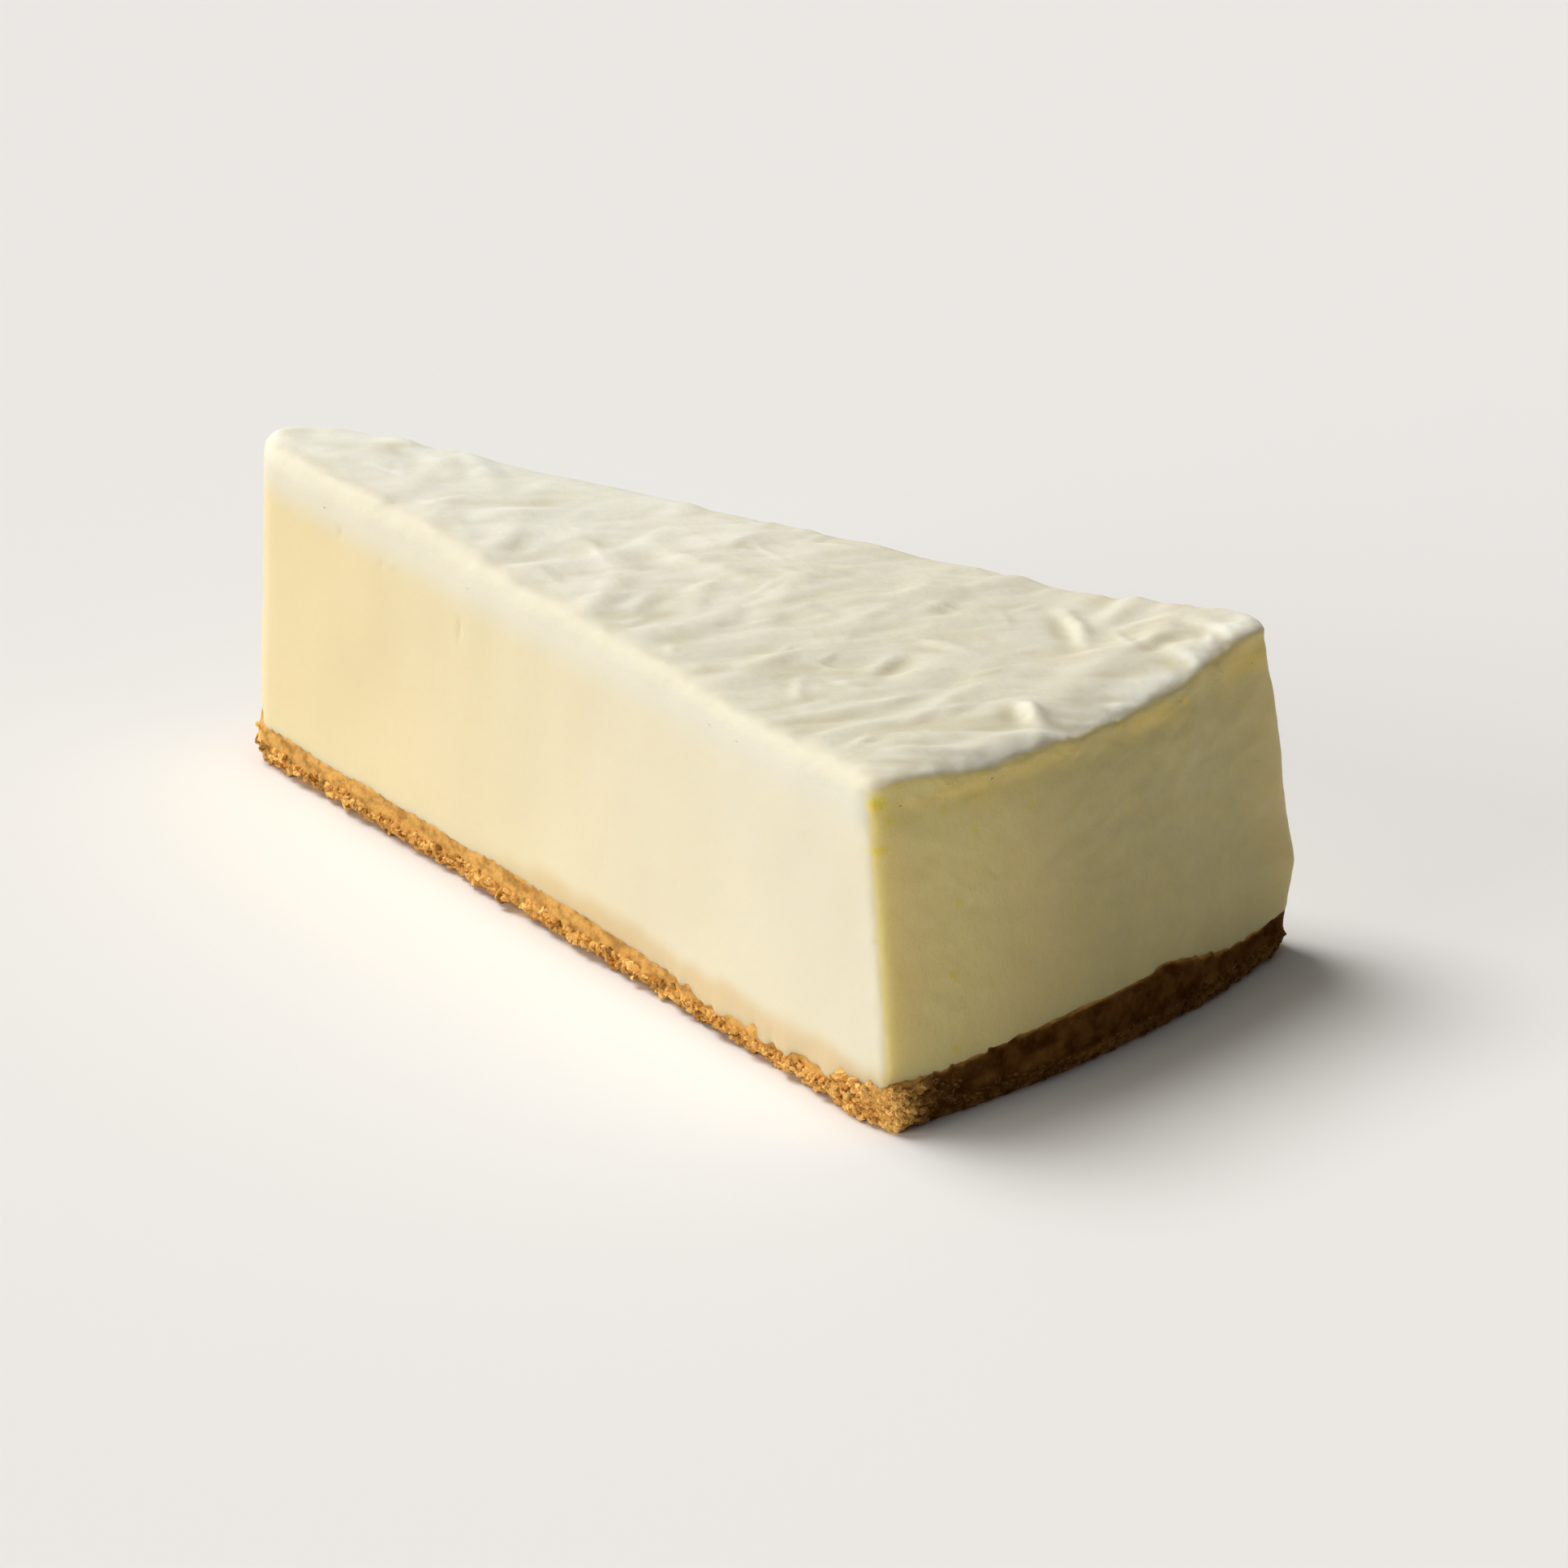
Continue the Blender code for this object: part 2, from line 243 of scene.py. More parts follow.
# How ragged the knife left the cream's edges
tornEdge = dict(
    width=3.2 * mm,
    height=3.0 * mm,
    tears=(0.13 * mm, 2.4 * mm, 21.0),
    fineTears=(0.065 * mm, 1.08 * mm, 22.0),
    lipMore=1.1,  # the lip is the most ragged
    lipWidth=2.6 * mm,
    lipEnd=4.0 * mm,
)

# Where the body is rubbed smooth, and how strongly there
rubbing = dict(
    iterations=60,
    least=0.01,
    crease=dict(strength=1.0, belowTop=3.6 * mm, height=(1.8 * mm, 1.8 * mm), depth=(1.0 * mm, 2.0 * mm)),
    edge=dict(strength=0.8, reach=6.0 * mm),
    brow=dict(strength=0.55, belowTop=1.0 * mm, reach=5.5 * mm, width=(0.5, 0.5)),
    corner=dict(strength=0.5, reach=4.0 * mm, height=6.0 * mm),
)


def midRim(place, full, fade):
    # 1 at the middle of the rim, falling to 0 towards its corners
    return within(np.abs(place.turn - lipShape["middle"]), full, fade)


def rubSmooth(body):
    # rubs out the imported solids' crease under the lip, and rounds the cream's edges
    points, _ = readPoints(body)
    place = Places(points)
    crease, edge, brow, corner = (rubbing[name] for name in ("crease", "edge", "brow", "corner"))
    byCrease = within(np.abs(place.fromTop - crease["belowTop"]), *crease["height"])
    byCrease *= within(place.fromRim, *crease["depth"])
    byEdge = fall(np.hypot(place.fromNear, place.fromTop), edge["reach"])
    byBrow = fall(np.hypot(place.fromRim, place.fromTop - brow["belowTop"]), brow["reach"])
    byBrow *= midRim(place, *brow["width"])
    byCorner = fall(np.hypot(place.fromFar, place.fromRim), corner["reach"])
    byCorner *= fall(place.fromTop, corner["height"])
    shares = (crease, byCrease), (edge, byEdge), (brow, byBrow), (corner, byCorner)
    weights = np.max([kind["strength"] * share for kind, share in shares], axis=0)
    rubbed = body.vertex_groups.new(name="rubbed")
    for index, weight in enumerate(weights):
        if weight > rubbing["least"]:
            rubbed.add((index,), float(weight), "REPLACE")
    applyModifier(body, "SMOOTH", factor=0.5, iterations=rubbing["iterations"], vertex_group="rubbed")
    body.vertex_groups.clear()


def growBody():
    body = copyOfNode("cheese_filling", "cheeseFilling")
    cream = copyOfNode("cream_topping", "creamTopping")
    down = (0, 0, -bodyShape["overlap"])
    for piece in (cream, body):
        moveFaces(piece, lambda centre, normal: normal.z < bodyShape["footNormal"], down)
    selectOnly(body)
    cream.select_set(True)
    bpy.ops.object.join()
    applyModifier(body, "REMESH", mode="VOXEL", voxel_size=bodyShape["voxel"])
    applyModifier(body, "SMOOTH", factor=0.5, iterations=bodyShape["smoothing"])
    rubSmooth(body)
    return body


# Marks of the palette knife in the cream: ridges with a trough beside them, most laid across the slice
knifeMarks = dict(
    seed=23,
    nearestApex=20 * mm,
    heading=(math.radians(46), math.radians(98)),
    strays=0.28,
    bend=22.0,  # per metre
    sweeps=dict(
        count=40,
        length=(8 * mm, 24 * mm),
        width=(1.0 * mm, 2.1 * mm),
        height=(0.10 * mm, 0.30 * mm),
    ),
    ridges=dict(
        count=120,
        length=(3 * mm, 11 * mm),
        width=(0.4 * mm, 0.8 * mm),
        height=(0.05 * mm, 0.15 * mm),
    ),
    trough=dict(depth=0.5, offset=1.7, width=1.2),  # in shares of the ridge's height and width
    waver=0.8 * mm,
    waverSize=7.0 * mm,
    waverSeeds=(3.1, 7.7),
    streakHeading=math.radians(62),
    streaks=(0.12 * mm, np.array([8.0, 2.0, 1.0]) * mm, 1.3),  # long soft streaks between the marks
    scratches=(0.05 * mm, np.array([3.6, 0.8, 1.0]) * mm, 5.9),
    tipShare=0.4,  # the marks are lowest towards the tip and highest towards the rim
    rimShare=1.25,
    tipReach=(40 * mm, 80 * mm),
)

# Marks that stand out, listed one by one: x and y from the apex, heading, length, width, height, bend
boldMarks = (
    (120.6, 16.6, -38, 16.0, 1.0, 0.46, -26.0),
    (132.2, -5.0, -30, 6.5, 1.1, 0.75, 10.0),
    (128.6, 18.6, 80, 12.0, 0.9, 0.34, -8.0),
    (124.6, 21.4, 66, 9.0, 0.8, 0.24, 8.0),
    (106.2, 11.0, 84, 8.0, 1.1, 0.32, 14.0),
    (113.0, -5.6, 96, 11.0, 1.0, 0.30, -12.0),
    (119.6, -13.5, 74, 20.0, 1.0, 0.26, -6.0),
    (123.4, -16.0, 72, 24.0, 1.1, 0.22, -5.0),
    (116.6, -21.4, 62, 16.0, 0.9, 0.26, 8.0),
    (104.6, -13.6, 88, 13.0, 1.0, 0.26, 10.0),
    (84.6, -11.0, 105, 9.0, 0.9, 0.26, 6.0),
    (73.6, 2.0, 95, 19.0, 1.1, 0.20, -6.0),
    (55.4, 6.6, 82, 11.0, 1.0, 0.24, 9.0),
    (95.0, 3.0, 78, 12.0, 1.0, 0.22, 8.0),
)


def drawMarks():
    draw = random.Random(knifeMarks["seed"])
    marks = []
    for kind in (knifeMarks["sweeps"], knifeMarks["ridges"]):
        for _ in range(kind["count"]):
            radius = math.sqrt(draw.uniform(knifeMarks["nearestApex"] ** 2, wedge["topRadius"] ** 2))
            angle = draw.uniform(-1.0, 1.0) * wedge["halfAngle"]
            stray = draw.random() < knifeMarks["strays"]
            marks.append(
                dict(
                    x=radius * math.cos(angle),
                    y=radius * math.sin(angle),
                    heading=draw.uniform(0.0, math.pi) if stray else draw.uniform(*knifeMarks["heading"]),
                    length=draw.uniform(*kind["length"]),
                    width=draw.uniform(*kind["width"]),
                    height=draw.uniform(*kind["height"]),
                    bend=draw.uniform(-1.0, 1.0) * knifeMarks["bend"],
                    side=draw.choice((-1.0, 1.0)),
                )
            )
    for x, y, heading, length, width, height, bend in boldMarks:
        marks.append(
            dict(
                x=x * mm,
                y=y * mm,
                heading=math.radians(heading),
                length=length * mm,
                width=width * mm,
                height=height * mm,
                bend=bend,
                side=1.0,
            )
        )
    return marks


def knifeRelief(points):
    # how far the knife's marks lift or dent each point of the top
    flat = points * (1.0, 1.0, 0.0)
    waverX, waverY = (
        waves(flat, knifeMarks["waver"], knifeMarks["waverSize"], seed) for seed in knifeMarks["waverSeeds"]
    )
    x = points[:, 0] - apexX + waverX
    y = points[:, 1] + waverY
    cosine, sine = math.cos(knifeMarks["streakHeading"]), math.sin(knifeMarks["streakHeading"])
    drawn = np.column_stack((x * cosine + y * sine, y * cosine - x * sine, 0.0 * x))
    relief = waves(drawn, *knifeMarks["streaks"]) + waves(drawn, *knifeMarks["scratches"])
    trough = knifeMarks["trough"]
    for mark in drawMarks():
        cosine, sine = math.cos(mark["heading"]), math.sin(mark["heading"])
        dx, dy = x - mark["x"], y - mark["y"]
        along = dx * cosine + dy * sine
        across = (dy * cosine - dx * sine - mark["bend"] * along**2) * mark["side"] / mark["width"]
        ridge = bell(across, 1.0) - trough["depth"] * bell(across + trough["offset"], trough["width"])
        relief += mark["height"] * ridge * fall(np.abs(along), mark["length"] / 2)
    towardsTip = within(np.hypot(x, y), *knifeMarks["tipReach"])
    rimShare, tipShare = knifeMarks["rimShare"], knifeMarks["tipShare"]
    return relief * (rimShare + (tipShare - rimShare) * towardsTip)


# Small holes that bubbles and the knife left in the walls
pits = dict(
    seed=5,
    count=85,
    radius=(0.25 * mm, 0.75 * mm),
    depth=(0.08 * mm, 0.36 * mm),
    squash=(0.35, 1.6),
    softness=1.6,
    belowTop=5 * mm,
    uprightFrom=0.9,
)


def pitRelief(points, place, walls):
    draw = random.Random(pits["seed"])
    relief = np.zeros(len(points))
    candidates = np.flatnonzero(walls * (place.fromTop > pits["belowTop"]) > pits["uprightFrom"])
    for _ in range(pits["count"]):
        middle = points[candidates[draw.randrange(len(candidates))]]
        radius = draw.uniform(*pits["radius"])
        depth = draw.uniform(*pits["depth"])
        squash = np.array([1.0, 1.0, draw.uniform(*pits["squash"])])
        distance = np.linalg.norm((points - middle) * squash, axis=1)
        relief -= depth * fall(distance, pits["softness"] * radius)
    return relief


# What the knife left on the near cut: distance from the apex, height, half length, half width,
# lean from upright and depth, where less than 0 stands out
cutMarks = (
    (43.3, 31.4, 1.0, 0.8, 0, 0.35),
    (51.0, 30.6, 0.9, 0.7, 60, 0.30),
    (53.0, 31.4, 1.6, 0.6, 80, -0.18),
    (65.2, 28.2, 2.4, 0.7, 8, 0.40),
    (78.0, 20.5, 2.0, 0.6, -20, 0.15),
    (92.0, 12.0, 3.0, 0.6, 5, 0.12),
    (104.8, 13.9, 0.8, 0.5, 0, 0.25),
    (126.6, 28.4, 2.6, 0.35, 62, -0.15),
    (114.0, 30.5, 3.4, 0.5, 66, -0.10),
)


def cutRelief(place):
    relief = np.zeros(len(place.x))
    for radius, height, length, width, lean, depth in cutMarks:
        out = place.radius - radius * mm
        up = place.z - height * mm
        sine, cosine = math.sin(math.radians(lean)), math.cos(math.radians(lean))
        along = np.abs(up * cosine + out * sine) / (length * mm)
        across = np.abs(out * cosine - up * sine) / (width * mm)
        relief -= depth * mm * fall(np.hypot(along, across), 1.0)
    return relief * fall(place.fromNear, bodyShape["nearDepth"])


def wallRelief(points, place, walls):
    rim = walls * fall(place.fromRim, bodyShape["rimDepth"])
    byNear = fall(place.fromNear, bodyShape["nearDepth"]) * (1.0 - rim)
    rough = walls * (1.0 - bodyShape["nearSmoother"] * byNear)
    curd = bodyShape["curd"] + (bodyShape["rimCurd"] - bodyShape["curd"]) * rim
    relief = walls * waves(points, *bodyShape["wallWaves"])
    relief += rough * waves(points, curd, bodyShape["curdSize"], bodyShape["curdSeed"])
    relief += rim * waves(points, *bodyShape["rimWaves"])
    return relief + rough * (pitRelief(points, place, rough) + cutRelief(place))


def lipRelief(points, place, depth):
    lip = bell(depth - lipShape["belowTop"], lipShape["height"])
    crease = bell(depth - lipShape["creaseBelowTop"], lipShape["creaseHeight"])
    crease *= patches(points, *lipShape["creasePatches"])
    for distance, end in zip((place.fromNear, place.fromFar), lipShape["creaseEnds"]):
        crease *= 1.0 - fall(distance, end)
    brim = fall(place.fromTop, lipShape["brimHeight"])
    brim *= fall(np.minimum(place.fromNear, place.fromFar), lipShape["brimWidth"])
    return lip * lipShape["out"] - crease * lipShape["creaseDepth"] - brim * lipShape["brimBack"]


def tornRelief(points, place):
    edge = fall(np.minimum(place.fromRim, place.fromNear), tornEdge["width"])
    edge *= fall(place.fromTop, tornEdge["height"])
    torn = waves(points, *tornEdge["tears"]) + waves(points, *tornEdge["fineTears"])
    byLip = fall(place.fromRim, tornEdge["lipWidth"]) * (1.0 - fall(place.fromNear, tornEdge["lipEnd"]))
    return edge * torn * (1.0 + tornEdge["lipMore"] * byLip)


def hangLip(points, place):
    # between its corners the rim's lip rolls over and hangs lower
    hang = midRim(place, *lipShape["sagWidth"]) * fall(place.fromTop, lipShape["sagReach"])
    hang *= 1.0 + waves(points, *lipShape["sagWaves"])
    points[:, 2] -= lipShape["sag"] * hang * fall(place.fromRim, lipShape["sagReach"])


# Near the rim's corners the cheese hangs lower over the base
seamDrop = dict(
    drop=2.3 * mm,
    nearShare=0.65,
    nearWidth=0.9,
    farTurn=0.62,
    farWidth=0.42,
    height=6.0 * mm,
    heightReach=5.0 * mm,
    depth=5 * mm,
)


def dropSeam(points, place):
    # the cheese and the base move as one
    near = seamDrop["nearShare"] * fall(place.turn + 1.0, seamDrop["nearWidth"])
    far = fall(np.abs(place.turn - seamDrop["farTurn"]), seamDrop["farWidth"])
    drop = (near + far) * fall(np.abs(place.z - seamDrop["height"]), seamDrop["heightReach"])
    points[:, 2] -= seamDrop["drop"] * drop * fall(place.fromRim, seamDrop["depth"])


# At the near cut the knife pulled cheese down over the base, in an uneven film
cheeseFilm = dict(
    reach=2.1 * mm,
    mean=0.62,
    most=0.95,
    bays=(0.5, 3.2 * mm, 9.0),
    nicks=(0.2, 1.2 * mm, 2.0),
    start=(92 * mm, 22 * mm),
    end=(130 * mm, 6 * mm),
    depth=(0.4 * mm, 2.2 * mm),
    height=(wedge["baseHeight"], 3.5 * mm),
    out=0.2,  # how far it stands off the base, as a share of its reach
)


def dragCheeseDown(points, place):
    flat = points * (1.0, 1.0, 0.0)
    ragged = cheeseFilm["mean"] + waves(flat, *cheeseFilm["bays"]) + waves(flat, *cheeseFilm["nicks"])
    grown = (1.0 - within(place.radius, *cheeseFilm["start"])) * within(place.radius, *cheeseFilm["end"])
    reach = cheeseFilm["reach"] * grown * np.clip(ragged, 0.0, cheeseFilm["most"])
    reach *= within(place.fromNear, *cheeseFilm["depth"]) * within(place.z, *cheeseFilm["height"])
    points[:, 2] -= reach
    outwards = np.array([-math.sin(wedge["halfAngle"]), -math.cos(wedge["halfAngle"]), 0.0])
    points += outwards * (cheeseFilm["out"] * reach)[:, None]


# Yellow flecks on the rim: degrees from the middle of the slice, height, half width and half height
rimFlecks = (
    (-13.0, 29.9, 1.1, 0.5),
    (-12.9, 34.6, 1.0, 0.9),
    (-12.4, 32.6, 0.6, 0.5),
    (-9.5, 32.1, 0.5, 0.5),
    (-5.6, 34.9, 1.6, 0.4),
    (-7.2, 34.6, 1.0, 0.35),
    (-9.1, 22.0, 0.5, 0.5),
    (-9.7, 14.9, 0.6, 0.6),
    (-9.8, 7.1, 0.6, 0.5),
    (-4.5, 29.7, 0.6, 0.4),
    (-7.9, 29.1, 0.5, 0.5),
    (1.5, 33.4, 0.6, 0.4),
    (6.2, 32.6, 0.5, 0.5),
)

# Where each tone of the body lies. Patches have their mean first, and then their waves
bodyTones = dict(
    spreadFrom=(0.35, 0.5),  # how much the faces point up where the cream's colour begins; below that the cream's sides take the wall's tones, partly painted shade
    spreadRagged=0.25,
    raggedDepth=3 * mm,
    raggedWaves=(1.2, 2.6 * mm, 33.0),
    # the rim wall's tone: partly its baked skin, partly painted shade
    rimUpTo=(0.25, 0.55),
    rimDepth=3.5 * mm,
    rimOutwards=(0.3, 0.6),
    bandBelowTop=2.9 * mm,  # a golden band runs under the lip: partly its own colour, partly painted light against the lip's shade
    bandHeight=1.9 * mm,
    bandPatches=(0.7, 0.9, 5 * mm, 12.0),
    # painted light: the rim is lighter and yellower towards its corners, most at the near one where light
    # comes through
    nearCorner=(8 * mm, 26 * mm),
    farCorner=13 * mm,
    farCornerShare=0.4,
    hazeHeight=(wedge["baseHeight"] + 0.6 * mm, 2.6 * mm),  # crumb stains the cheese just over the base
    hazeWander=1.4,
    hazeDepth=2.0 * mm,
    hazeStart=(60 * mm, 25 * mm),
    # deeper yellow towards the tip on the walls: partly the cheese's own tone, partly painted shade and warm
    # bounced light
    golden=(30 * mm, 98 * mm),
    glow=0.5,  # the light goes deepest in the corner of rim and near cut
    glowMore=0.5,
    glowReach=(1.0 * mm, 9 * mm),
    partingCut=(0.15 * mm, 1.6 * mm),  # no light goes deep here, so that the cut stays unseen
    # painted light: the cream is lighter along the lip, more so towards the far corner, and towards the tip,
    # and less so along the near cut
    lipLight=0.5,
    lipLightTurn=0.45,
    lipDepth=5.5 * mm,
    tipLight=0.72,
    tipReach=(45 * mm, 74 * mm),
    nearLessLit=0.7,
    nearDepth=3.5 * mm,
    # painted shade: the knife's troughs are darker and warmer
    hollowFrom=0.18,
    hollowDepth=0.22 * mm,
    # painted shade along the near cut's top edge, to tone down its highlight
    edgeReach=3.0 * mm,
    fleckEdge=(0.4, 0.9),
    fleckDepth=3.0 * mm,
)


def fleckSpots(place):
    spots = np.zeros(len(place.x))
    around = np.arctan2(place.y, place.x)
    for degrees, height, halfWidth, halfHeight in rimFlecks:
        across = (around - math.radians(degrees)) * place.radius / (halfWidth * mm)
        up = (place.z - height * mm) / (halfHeight * mm)
        spots = np.maximum(spots, within(np.hypot(across, up), *bodyTones["fleckEdge"]))
    return spots * fall(place.fromRim, bodyTones["fleckDepth"])


def paintWalls(body, points, normals, place, walls, wander):
    tones = bodyTones
    outwards = (place.x * normals[:, 0] + place.y * normals[:, 1]) / place.radius
    # partly the rim's baked skin, partly painted shade on the wall that faces away from the light
    rim = within(np.abs(normals[:, 2]), *tones["rimUpTo"]) * fall(place.fromRim, tones["rimDepth"])
    rim *= 1.0 - within(outwards, *tones["rimOutwards"])
    writeMask(body, "rim", rim)
    # partly painted light against the lip's shade
    band = bell(place.fromTop + wander - tones["bandBelowTop"], tones["bandHeight"])
    writeMask(body, "groove", rim * band * patches(points, *tones["bandPatches"]))
    # painted light towards the rim's corners
    farCorner = tones["farCornerShare"] * fall(place.fromFar, tones["farCorner"])
    writeMask(body, "corner", rim * np.maximum(within(place.fromNear, *tones["nearCorner"]), farCorner))
    haze = within(place.z + tones["hazeWander"] * wander, *tones["hazeHeight"])
    haze *= fall(place.fromNear, tones["hazeDepth"]) * (1.0 - within(place.radius, *tones["hazeStart"]))
    writeMask(body, "haze", haze)
    # partly painted shade and warm bounced light towards the tip
    writeMask(body, "golden", walls * (1.0 - rim) * within(place.radius, *tones["golden"]))
    inCorner = within(np.hypot(place.fromNear, place.fromRim), *tones["glowReach"])
    parted = within(np.abs(aboveCut(points)), *tones["partingCut"])
    writeMask(body, "deep", (tones["glow"] + tones["glowMore"] * inCorner) * (1.0 - parted))
    # painted shade along the near cut's top edge
    writeMask(body, "edge", fall(np.hypot(place.fromNear, place.fromTop), tones["edgeReach"]))
    writeMask(body, "fleck", walls * fleckSpots(place))


def paintTop(body, points, normals, place, top, markedTop, marks):
    tones = bodyTones
    # painted shade in part: only faces that point up keep the cream's colour, so the lip's shaded sides take
    # the wall's tones
    ragged = fall(place.fromRim, tones["raggedDepth"]) * (1.0 + waves(points, *tones["raggedWaves"]))
    facingUp = normals[:, 2] - tones["spreadRagged"] * ragged
    writeMask(body, "spread", 1.0 - within(facingUp, *tones["spreadFrom"]))
    # painted light: lighter cream along the lip and towards the tip
    lip = (tones["lipLight"] + tones["lipLightTurn"] * place.turn) * fall(place.fromRim, tones["lipDepth"])
    highlit = np.maximum(lip, tones["tipLight"] * within(place.radius, *tones["tipReach"]))
    highlit *= 1.0 - tones["nearLessLit"] * fall(place.fromNear, tones["nearDepth"])
    writeMask(body, "highlit", top * highlit)
    # painted shade in the troughs of the knife's marks
    hollow = np.clip(tones["hollowFrom"] - marks / tones["hollowDepth"], 0.0, 1.0)
    writeMask(body, "hollow", markedTop * hollow)


def finishBody(body):
    points, normals = readPoints(body)
    place = Places(points)
    top = 1.0 - within(normals[:, 2], *bodyShape["topFrom"])
    walls = within(np.abs(normals[:, 2]), *bodyShape["wallUpTo"])
    marks = knifeRelief(points)
    markedTop = top * (1.0 - bodyShape["quiet"] * fall(place.fromNear, bodyShape["quietWidth"]))
    wander = waves(points, *lipShape["wander"]) + waves(points, *lipShape["fineWander"])
    relief = markedTop * marks + wallRelief(points, place, walls)
    rim = walls * fall(place.fromRim, bodyShape["rimDepth"])
    relief += rim * lipRelief(points, place, place.fromTop + wander)
    relief += tornRelief(points, place)
    points += normals * relief[:, None]
    hangLip(points, place)
    dropSeam(points, place)
    dragCheeseDown(points, place)
    writePoints(body, points)
    paintWalls(body, points, normals, place, walls, wander)
    paintTop(body, points, normals, place, top, markedTop, marks)
    bpy.ops.object.shade_smooth()


def partBody(body):
    selectOnly(body)
    bpy.ops.object.duplicate()
    cream = bpy.context.object
    cream.name = cream.data.name = "creamTopping"
    for piece, below in ((cream, True), (body, False)):
        selectOnly(piece)
        bpy.ops.object.mode_set(mode="EDIT")
        bpy.ops.mesh.select_all(action="SELECT")
        bpy.ops.mesh.bisect(
            plane_co=(0, 0, creamCut["height"]),
            plane_no=(0, creamCut["lean"], 1),
            use_fill=True,
            clear_inner=below,
            clear_outer=not below,
        )
        bpy.ops.object.mode_set(mode="OBJECT")
        bpy.ops.object.shade_smooth_by_angle(angle=math.radians(60))
    return cream


cheeseFilling = growBody()
finishBody(cheeseFilling)
print("cheese and cream grown:", len(cheeseFilling.data.vertices), "vertices")
creamTopping = partBody(cheeseFilling)
print("cream parted from the cheese")

# The crumb base: clumps of pressed crumbs, roughest on the cuts
baseShape = dict(
    voxel=0.36 * mm,
    topNormal=0.6,
    topRaised=0.2 * mm,  # closes the gap to the cheese
    wallUpTo=(0.0, 0.8),
    rimDepth=2.5 * mm,
    clump=0.6 * mm,
    clumpSize=np.array([2.1, 2.1, 1.2]) * mm,  # pressed flat
    clumpSeed=2.0,
    crumb=0.42 * mm,
    crumbSize=np.array([0.9, 0.9, 0.6]) * mm,
    crumbSeed=8.0,
    rimShare=0.3,  # the tin pressed the rim smoother
    upperShare=0.12,  # the knife smoothed the upper part of the cuts
    upperFrom=(1.1 * mm, 1.3 * mm),
    upperWaves=(0.5 * mm, 4 * mm, 17.0),
    looseCorner=(3 * mm, 8 * mm),
    looseDepth=3 * mm,
    footShare=0.15,
    footNormal=-0.5,
    rimBulge=1.1 * mm,  # the foot of the rim stands out towards the far corner
    bulgeTurn=0.5,
    bulgeWidth=0.6,
    bulgeHeight=5 * mm,
    margin=0.25 * mm,
    # the rim's dark crust: partly baked crust, partly painted shade; it begins past the near corner, which
    # is lit
    bakedFrom=(1.4 * mm, 4.0 * mm),
    bakedWaves=(1.2 * mm, 2 * mm, 30.0),
    # painted light: the crust is paler at the rim's far end
    farEndPaler=0.3,
    farEnd=5 * mm,
    # painted shade in the hollows between the clumps
    creaseDepth=(-0.25 * mm, 0.35 * mm),
    upperCrease=0.4,
    tone=0.35,
)


def roughen(points, size, seed):
    # rounded lumps with creases between them
    return np.array([0.5 - noise.voronoi(Vector(p))[0][0] for p in points / size + seed])


def makeBase():
    base = copyOfNode("crumb_base", "crumbBase")
    moveFaces(base, lambda centre, normal: normal.z > baseShape["topNormal"], (0, 0, baseShape["topRaised"]))
    applyModifier(base, "REMESH", mode="VOXEL", voxel_size=baseShape["voxel"])
    points, normals = readPoints(base)
    place = Places(points)
    walls = within(np.abs(normals[:, 2]), *baseShape["wallUpTo"])
    rim = walls * fall(place.fromRim, baseShape["rimDepth"])
    upper = 1.0 - within(place.z + waves(points, *baseShape["upperWaves"]), *baseShape["upperFrom"])
    loose = within(place.fromRim, *baseShape["looseCorner"]) * fall(place.fromNear, baseShape["looseDepth"])
    upper *= 1.0 - loose
    rough = 1.0 - (1.0 - baseShape["upperShare"]) * upper
    rough = np.minimum(rough, 1.0 - (1.0 - baseShape["rimShare"]) * rim)
    rough = np.where(normals[:, 2] < baseShape["footNormal"], baseShape["footShare"], rough)
    relief = baseShape["clump"] * roughen(points, baseShape["clumpSize"], baseShape["clumpSeed"])
    relief += baseShape["crumb"] * roughen(points, baseShape["crumbSize"], baseShape["crumbSeed"])
    bulge = rim * fall(np.abs(place.turn - baseShape["bulgeTurn"]), baseShape["bulgeWidth"])
    relief += baseShape["rimBulge"] * bulge * fall(place.z, baseShape["bulgeHeight"])
    points += normals * (rough * relief)[:, None]
    dropSeam(points, place)
    points[:, 2] = np.maximum(points[:, 2], 0.0)
    writePoints(base, points, margin=baseShape["margin"])
    # partly baked crust, partly painted shade on the rim, beginning past the lit near corner
    baked = 1.0 - within(place.fromNear + waves(points, *baseShape["bakedWaves"]), *baseShape["bakedFrom"])
    # painted light: paler crust at the rim's far end
    baked *= 1.0 - baseShape["farEndPaler"] * fall(place.fromFar, baseShape["farEnd"])
    creased = 1.0 - baseShape["upperCrease"] * upper
    # painted shade in the hollows between the clumps, less on the upper part
    writeMask(base, "crease", within(relief, *baseShape["creaseDepth"]) * creased)
    writeMask(base, "rim", rim * baked)
    writeMask(base, "smear", upper * (1.0 - rim))
    writeMask(base, "tone", np.full(len(points), baseShape["tone"]))
    bpy.ops.object.shade_smooth()
    return base


